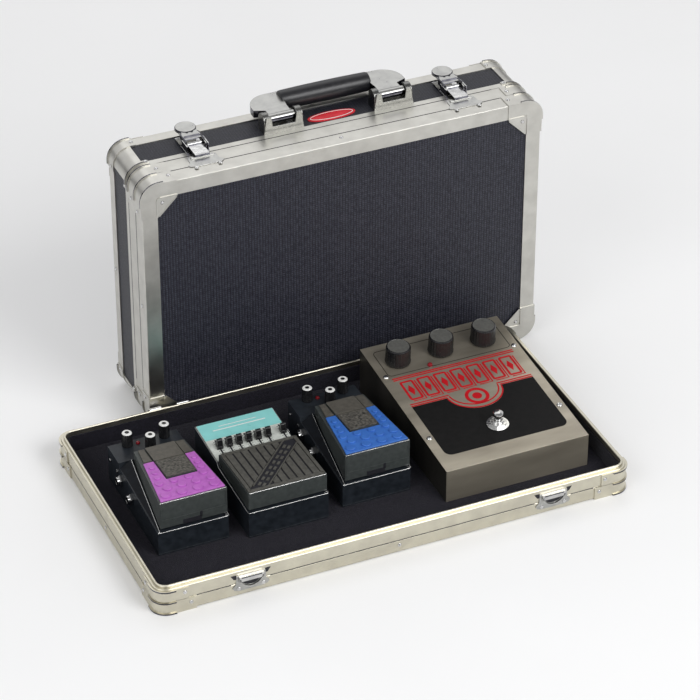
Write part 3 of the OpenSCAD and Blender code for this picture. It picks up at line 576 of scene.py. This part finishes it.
# ---- compact pedals ----
for side, pad_mat in (("left", "purple"), ("right", "blue")):
    lo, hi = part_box(side + "_pedal_housing")
    base = placer((lo.x, lo.y, PEDAL_Z))
    W = (hi.x - lo.x) / MM
    tread = sloped(base(0, 2, 60), TREADLE_FALL)

    def edge_highlights_and_cheeks(bm, base=base, W=W):
        # steel tube along the housing's front edge: painted highlight
        tube(bm, [base(0.6, 0.1, 26.5), base(W - 0.6, 0.1, 26.5)], 0.5, mat=1)
        for s in (0, 1):
            # sloping cheek from the housing's edge up to the treadle's side, painted darker than the housing as
            # painted shade, with a steel tube along its top as a painted highlight
            def at(x, y, z, s=s):
                return base(W - x if s else x, y, z)

            near, far = (2.5, 12.6) if s == 0 else (-0.4, 2.9)
            low = [at(0.25, 1, 26), at(0.25, 92, 33.6), at(0.25, 105, 33.6)]
            top = [at(near, 1, 27.2), at(far - 1.4, 88, 37.6), at(far, 104.5, 41.5)]
            inn = [at(near + 0.3, 1, 26), at(far - 1.1, 88, 33), at(far + 0.3, 104.5, 33)]
            rows = [[bm.verts.new(v) for v in line] for line in (low, top, inn)]
            slab = [bm.faces.new((rows[a][k], rows[a][k + 1], rows[b][k + 1], rows[b][k]))
                    for a, b in ((0, 1), (1, 2), (2, 0)) for k in range(2)]
            slab += [bm.faces.new([r[0] for r in rows]), bm.faces.new([r[-1] for r in rows][::-1])]
            for f in slab:
                f.material_index = 2
            tube(bm, [at(near * 0.4, 0.2, 26.7)] + top, 0.42, mat=1)
        # small raised steel tab at the right front corner; its brightness is a painted highlight
        block(bm, base, (W - 3.4, 0.1, 26), (W - 0.3, 1.5, 29.0), 1)
        for y, z, r in ((112, 26, 2.2), (131, 27, 1.8)):
            lathe(bm, placer(base(-0.1, y, z), (0, 1, 0), (0, 0, 1), (-1, 0, 0)), (0, 0, 0),
                  [(r, 0), (r, 0.5), (r * 0.6, 1.0)], 20, mats=[1, 1, 1])

    softened(side + "_pedal_housing", 0.9, "housing", extra=edge_highlights_and_cheeks, mats=["steel", "cheek_shade"])

    def tread_detail(bm, base=base, W=W, tread=tread):
        face = placer(base(0, 2, 0), (1, 0, 0), (0, 0, 1), (0, -1, 0))
        # the notch in the front face, drawn as dark blocks: painted shade
        block(bm, face, (27, 29.6, 0), (46, 34.6, 0.6), 1)
        block(bm, face, (44.5, 33.5, 0), (47, 39.5, 0.6), 1)
        frame_strip(bm, face, rounded(4.6, 38.5, W - 1.2, 57.6, 1.2), 0.8, 0, 0.45, 0)
        # steel tube along the treadle's front top edge: painted highlight
        tube(bm, [tread(4.2, 0.1, -0.3), tread(W - 0.9, 0.1, -0.3)], 0.55, mat=4)
        prism(bm, tread, rounded(26.4, 39.7, 56.8, 71.6, 1.2), 2.0, 3.1, 2)
        prism(bm, tread, rounded(26.2, 73.2, 57, 100.3, 1.2), 2.0, 3.0, 3)
        frame_strip(bm, tread, rounded(26.8, 40.1, 56.4, 71.2, 1.0), 0.8, 3.0, 3.3, 3)
        prism(bm, tread, [(16.4, 77), (24.8, 77), (25, 101), (19.4, 101)], 0.0, 1.6, 3)
        prism(bm, tread, [(58.6, 77), (67.2, 77), (66.4, 101), (58.4, 101)], 0.0, 1.6, 3)

    softened(side + "_pedal_treadle", 0.8, "treadle", extra=tread_detail,
             mats=["board", "stipple", "cover", "steel"])

    # U-shaped pad: a bevelled sheet with round studs that shrink to the rear
    bm = bmesh.new()
    prism(bm, tread, [(5.5, 1.5), (71.4, 1.5), (68.4, 75), (58.6, 75), (57.8, 38), (25.2, 38),
                      (25.6, 75), (15.2, 75)], 0, 1.5)
    studs = [(13.4 + i * 16.7, 9, 4.9) for i in range(4)]
    studs += [(19.6 + i * 15, 21, 4.4) for i in range(4)]
    studs += [(15.4, 32, 3.9), (30.5, 32, 3.9), (46, 32, 3.9), (61.5, 33, 3.7)]
    studs += [(17.6 + 0.9 * k, 43 + 10 * k, 3.3 - 0.3 * k) for k in range(3)]
    studs += [(63.6, 44.5 + 9.5 * k, 3.3 - 0.3 * k) for k in range(3)]
    for u, v, r in studs:
        lathe(bm, tread, (u, v, 1.4), [(r, 0), (r, 0.9), (r - 0.25, 1.3), (r - 0.8, 1.45)], 28)
    finish_piece(bm, side + "_pad", side + "_treadle", [pad_mat], 0.25,
                 replaces=(side + "_pedal_pad",))

    for n in range(3):
        bm = bmesh.new()
        klo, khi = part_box("%s_pedal_knob_%d" % (side, n + 1))
        spot = placer(((klo.x + khi.x) / 2, (klo.y + khi.y) / 2, klo.z))
        lathe(bm, spot, (0, 0, 0), [(5.55, 0), (5.6, 0.6), (5.3, 9.5), (5.1, 14.6), (4.7, 15.1),
                                    (4.4, 15.35), (2.3, 15.35), (2.1, 15.0)], 48, 16, 0.05,
              mats=[0, 0, 0, 1, 1, 1, 0, 0])
        finish_piece(bm, "%s_knob_%d_cap" % (side, n + 1), "%s_knob_%d" % (side, n + 1),
                     ["knob", "white"], replaces=("%s_pedal_knob_%d" % (side, n + 1),))

    bm = bmesh.new()
    lathe(bm, base, (29.5, 131, 38.8), [(2.2, 0), (2.2, 1.0), (1.7, 1.9), (0.8, 2.3)], 24)
    finish_piece(bm, side + "_light", "tray", ["lens"])

softened("treadle_pins", 0.2, "steel")
softened("pedal_jacks", 0.4, "chrome")
softened("pedal_base_plates", 0.3, "housing")

# ---- equaliser pedal ----
lo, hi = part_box("eq_pedal_housing")
eq = placer((lo.x, lo.y, PEDAL_Z))
EQ_W = (hi.x - lo.x) / MM
eq_dir = Vector(JOINT["eq_slider_1_slide"]["axis"])
eq_face = placer(eq(0, 82, 36), (1, 0, 0), eq_dir, Vector((1, 0, 0)).cross(eq_dir))
EQ_SLIDERS = [10.6 + 10.3 * i for i in range(6)] + [78.4]
SLIDER_V = 20


def eq_edge_highlights(bm):
    # steel tubes along the housing's edges and a steel tab at its right front corner: painted highlights
    for x in (0.1, EQ_W - 0.1):
        tube(bm, [eq(x, 0.6, 29.5), eq(x, 79, 32), eq(x, 82.5, 36.1), eq(x, 141, 39.5)], 0.35, mat=1)
    tube(bm, [eq(0.6, 0.1, 29.5), eq(EQ_W - 0.6, 0.1, 29.5)], 0.45, mat=1)
    block(bm, eq, (EQ_W - 3.4, 0.1, 29), (EQ_W - 0.3, 1.4, 31.6), 1)


softened("eq_pedal_housing", 0.7, "housing", extra=eq_edge_highlights, mats=["steel"])
bm = bmesh.new()
prism(bm, eq_face, rounded(1.3, 33.5, EQ_W - 1.3, 58.8, 0.8), 0.9, 1.25, 0)
stroke(bm, eq_face, [(14, 46), (EQ_W - 14, 46)], 1.2, 1.2, 1.35, 1)
stroke(bm, eq_face, [(22, 51), (EQ_W - 22, 51)], 0.8, 1.2, 1.35, 1)
for x in EQ_SLIDERS:
    for k in range(7):
        for s in (-1, 1):
            block(bm, eq_face, (x + s * 2.2 - 0.7, SLIDER_V - 9.2 + 3 * k, 0.95),
                  (x + s * 2.2 + 0.7, SLIDER_V - 8.6 + 3 * k, 1.12), 2)
    # each slider's slot, drawn as a dark strip: painted shade
    block(bm, eq_face, (x - 0.85, SLIDER_V - 12, 0.9), (x + 0.85, SLIDER_V + 12, 1.05), 2)
finish_piece(bm, "eq_prints", "tray", ["turquoise", "white", "board"])

lo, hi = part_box("eq_pedal_treadle")
eq_tread = sloped((lo.x, lo.y, hi.z), EQ_FALL)
TW, TD = (hi.x - lo.x) / MM, (hi.y - lo.y) / MM


def eq_ribs(bm):
    # ground painted dark between the ribs as painted shade, broad ribs standing on it, a rim all round and a band
    # across the middle
    prism(bm, eq_tread, rounded(1.2, 1.2, TW - 1.2, TD - 1.6, 2), 0.0, 0.3, 1)
    frame_strip(bm, eq_tread, rounded(0.9, 0.9, TW - 0.9, TD - 1.3, 2), 3.4, 0, 1.5, 3)
    # steel tube along the treadle's front edge: painted highlight
    tube(bm, [eq_tread(0.8, 0, -0.2), eq_tread(TW - 0.8, 0, -0.2)], 0.45, mat=2)
    a, b = (14, 5), (TW - 10, TD - 9)
    d = math.hypot(b[0] - a[0], b[1] - a[1])
    ux, uy = (b[0] - a[0]) / d, (b[1] - a[1]) / d
    lanes = 9
    pitch = (TW - 8.6) / lanes
    for i in range(lanes):
        x0, x1 = 4.3 + i * pitch + 0.95, 4.3 + (i + 1) * pitch - 0.95
        for side in (-1, 1):
            # where this rib meets the band, at its two edges
            cut = [a[1] + (x - a[0]) * uy / ux + side * 8.2 / ux for x in (x0, x1)]
            ends = [5.0, 5.0] if side < 0 else [TD - 5.2, TD - 5.2]
            cut = [min(max(c, 5.0), TD - 5.2) for c in cut]
            if abs(cut[0] - ends[0]) + abs(cut[1] - ends[1]) > 4:
                line = [(x0, ends[0]), (x1, ends[1]), (x1, cut[1]), (x0, cut[0])]
                prism(bm, eq_tread, line if side < 0 else line[::-1], 0, 1.3, 3)
    for off in (-7, 7):
        stroke(bm, eq_tread, [(a[0] - uy * off, a[1] + ux * off), (b[0] - uy * off, b[1] + ux * off)],
               1.3, 0, 1.3, 3)
    for k in range(8):
        t = 6 + k * (d - 12) / 7.4
        for j in (-1, 1):
            c = (a[0] + ux * t - uy * 2.4 * j, a[1] + uy * t + ux * 2.4 * j)
            stroke(bm, eq_tread, [(c[0] - ux * 2.6, c[1] - uy * 2.6), (c[0] + ux * 2.6, c[1] + uy * 2.6)],
                   2.6, 0, 1.1, 3)


softened("eq_pedal_treadle", 0.6, "treadle", extra=eq_ribs, mats=["board", "steel", "eq_tread"])
for i, x in enumerate(EQ_SLIDERS):
    bm = bmesh.new()
    stem = [(-0.7, -1.5), (0.7, -1.5), (0.7, 1.5), (-0.7, 1.5)]
    prism(bm, placer(eq_face(x, SLIDER_V, 0), (1, 0, 0), eq_dir, Vector((1, 0, 0)).cross(eq_dir)),
          stem, -5, 2)
    cap = placer(eq_face(x, SLIDER_V, 0), (1, 0, 0), eq_dir, Vector((1, 0, 0)).cross(eq_dir))
    prism(bm, cap, rounded(-3.1, -4.0, 3.1, 4.0, 0.9), 1.5, 5.0)
    prism(bm, placer(cap(-2.8, 0, 0), eq_dir, Vector((1, 0, 0)).cross(eq_dir), (1, 0, 0)),
          [(-3.2, 4.8), (3.2, 4.8), (1.6, 11.4), (-0.2, 11.9), (-1.5, 11.0)], 0, 5.6)
    finish_piece(bm, "eq_slider_%d_cap" % (i + 1), "eq_slider_%d" % (i + 1), ["knob"], 0.35,
                 replaces=("eq_pedal_slider_%d" % (i + 1),))

# ---- big pedal ----
BIG_KNOBS, BIG_KNOB_V, SWITCH_AT = (28, 76, 124), 178, (79, 49)
turn = JOINT["big_knob_1_turn"]
normal = -Vector(turn["axis"])
big_back = normal.cross(Vector((1, 0, 0)))
big = placer(Vector(turn["pos_m"]) - (Vector((BIG_KNOBS[0], 0, 0)) + big_back * BIG_KNOB_V
                                     + normal * 10) * MM,
             (1, 0, 0), big_back, normal)
lo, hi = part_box("big_pedal_chassis")
BIG_W, BIG_L = (hi.x - lo.x) / MM, 210.5
# the chassis' side faces get the darker nickel: painted shade
softened("big_pedal_chassis", 1.3, "nickel", 3, shaded_sides="nickel_shaded_side",
         pick=lambda f: abs(f.normal.x) > 0.5)

BAND_FRONT, BAND_REAR, TAB_X, TAB_R = 105.5, 152.5, 79.5, 30


def tab(inset):
    """The front line of the red band, with its half-round tab."""
    r = TAB_R - inset
    v = BAND_FRONT + inset
    pts = [(10.5, v), (TAB_X - r, v)]
    pts += [(TAB_X - r * math.cos(t), v - r * 0.86 * math.sin(t))
            for t in (math.pi * i / 24 for i in range(1, 24))]
    return pts + [(TAB_X + r, v), (BIG_W - 10.5, v)]


bm = bmesh.new()
quarter = [math.pi / 2 * i / 8 for i in range(9)]
panel = [(10.5, BAND_FRONT - 1.2), (10.5, 30)]
panel += [(18.5 - 8 * math.cos(t), 30 - 8 * math.sin(t)) for t in quarter[1:]]
panel += [(BIG_W - 18.5 + 8 * math.sin(t), 30 - 8 * math.cos(t)) for t in quarter]
panel += [(BIG_W - 10.5, BAND_FRONT - 1.2)] + [(u, v - 1.2) for u, v in tab(0)[-2:0:-1]]
prism(bm, big, panel, -0.02, 0.14, 0)
for inset in (0, 2.9):
    stroke(bm, big, tab(inset), 1.5, -0.02, 0.2, 1)
for v in (BAND_REAR, BAND_REAR - 2.9):
    stroke(bm, big, [(10.5, v), (BIG_W - 10.5, v)], 1.5, -0.02, 0.2, 1)
for k in range(7):
    # plain ornament: a bold square frame with a lozenge in it, and a cast shadow beside it
    u0, v0, v1 = 14.5 + k * 18.4, BAND_FRONT + 9, BAND_REAR - 7
    frame_strip(bm, big, rounded(u0, v0, u0 + 14.6, v1, 2.5), 2.3, -0.02, 0.2, 1)
    stroke(bm, big, [(u0 + 2, v0 - 1.8), (u0 + 16.2, v0 - 1.8), (u0 + 16.2, v1 - 2)], 1.3,
           -0.02, 0.18, 1)
    uc, vc = u0 + 7.3, (v0 + v1) / 2
    prism(bm, big, [(uc, vc - 8.5), (uc + 3.4, vc), (uc, vc + 8.5), (uc - 3.4, vc)], -0.02, 0.2, 1)
frame_strip(bm, big, circle(TAB_X, BAND_FRONT - 8, 12.5, 40), 3.6, -0.02, 0.2, 1)
prism(bm, big, circle(TAB_X, BAND_FRONT - 8, 5, 24), -0.02, 0.2, 1)
frame_strip(bm, big, rounded(9, BAND_REAR + 5, BIG_W - 9, BIG_L - 10, 5), 0.6, -0.02, 0.16, 0)
finish_piece(bm, "big_prints", "tray", ["black_print", "red_print"])

for n, x in enumerate(BIG_KNOBS):
    bm = bmesh.new()
    lathe(bm, big, (x, BIG_KNOB_V, 0.6), [(13.0, 0), (13.5, 0.7), (13.4, 2.6), (13.0, 3.4), (12.9, 16.9),
                                          (12.7, 18.3), (12.2, 19.0), (11.4, 19.3), (11.1, 19.0), (2, 19.1)],
          96, 32, 0.025, mats=[0, 0, 0, 0, 0, 0, 0, 1, 1, 1])
    stroke(bm, big, [(x + 2, BIG_KNOB_V + 7), (x + 3.2, BIG_KNOB_V + 11)], 0.7, 19.2, 19.8, 1)
    finish_piece(bm, "big_knob_%d_cap" % (n + 1), "big_knob_%d" % (n + 1),
                 ["knob", "knob_top", "white"], replaces=("big_pedal_knob_%d" % (n + 1),))
softened("big_pedal_footswitch_bush", 0.35, "chrome", 3)
bm = bmesh.new()
lathe(bm, big, (*SWITCH_AT, -4), [(3.7, 0), (3.7, 14.5), (4.4, 14.9), (5.3, 15.3), (5.5, 16.2), (5.4, 17.6),
                              (4.8, 18.6), (3.6, 19.2), (1.8, 19.4)], 36)
finish_piece(bm, "footswitch_cap", "footswitch", ["chrome"],
             replaces=("big_pedal_footswitch_button",))
bm = bmesh.new()
for u, v in ((6, 53), (150, 53), (6, 158), (150, 158)):
    lathe(bm, big, (u, v, 0), [(3.0, 0), (2.9, 0.7), (2.3, 1.4), (1.2, 1.7)], 24)
    # the screw's slot, drawn as a dark bar: painted shade
    block(bm, placer(big(u, v, 0), (0.8, 0.6, 0), big_back * 0.8 - Vector((0.6, 0, 0)), normal),
          (-1.7, -0.3, 1.45), (1.7, 0.3, 1.75), 1)
finish_piece(bm, "big_screws", "tray", ["chrome", "board"], replaces=("pedal_screws",))
bm = bmesh.new()
lathe(bm, big, (56, 160, 0), [(2.6, 0), (2.6, 1.2), (2.0, 2.2), (1.0, 2.6)], 24)
finish_piece(bm, "big_light", "tray", ["lens"])

# ---- floor, light and world ----
bm = bmesh.new()
bmesh.ops.create_grid(bm, x_segments=2, y_segments=2, size=14)
mesh = bpy.data.meshes.new("floor")
bm.to_mesh(mesh)
bm.free()
mesh.materials.append(MATS["floor"])
floor = bpy.data.objects.new("floor", mesh)
SCENE.collection.objects.link(floor)


def area_light(name, where, size, power, aim=(0, 0, 0.1)):
    data = bpy.data.lights.new(name, "AREA")
    data.shape = "RECTANGLE"
    data.size, data.size_y, data.energy = size, size, power
    obj = bpy.data.objects.new(name, data)
    obj.location = where
    obj.rotation_mode = "QUATERNION"
    obj.rotation_quaternion = (Vector(aim) - Vector(where)).to_track_quat("-Z", "Y")
    SCENE.collection.objects.link(obj)


area_light("key", (1.1, -2.3, 2.1), 1.6, 48)
area_light("fill", (-2.0, -1.2, 1.9), 1.6, 14)
area_light("back", (0.4, 2.0, 2.8), 2.4, 16)
world = bpy.data.worlds.new("world")
SCENE.world = world
world.use_nodes = True
nt = world.node_tree
coord = nt.nodes.new("ShaderNodeTexCoord")
split = nt.nodes.new("ShaderNodeSeparateXYZ")
ramp = nt.nodes.new("ShaderNodeValToRGB")
nt.links.new(coord.outputs["Generated"], split.inputs[0])
nt.links.new(split.outputs["Z"], ramp.inputs["Fac"])
ramp.color_ramp.elements[0].color = (0.03, 0.03, 0.035, 1)
ramp.color_ramp.elements[0].position = 0.10
ramp.color_ramp.elements[1].color = (0.85, 0.85, 0.86, 1)
ramp.color_ramp.elements[1].position = 0.24
for place, tone in ((0.68, 0.80), (0.80, 0.35), (1.0, 0.25)):
    stop = ramp.color_ramp.elements.new(place)
    stop.color = (tone, tone, tone * 1.01, 1)
nt.links.new(ramp.outputs[0], nt.nodes["Background"].inputs[0])
nt.nodes["Background"].inputs[1].default_value = 1.0
SCENE.view_settings.view_transform = "Standard"
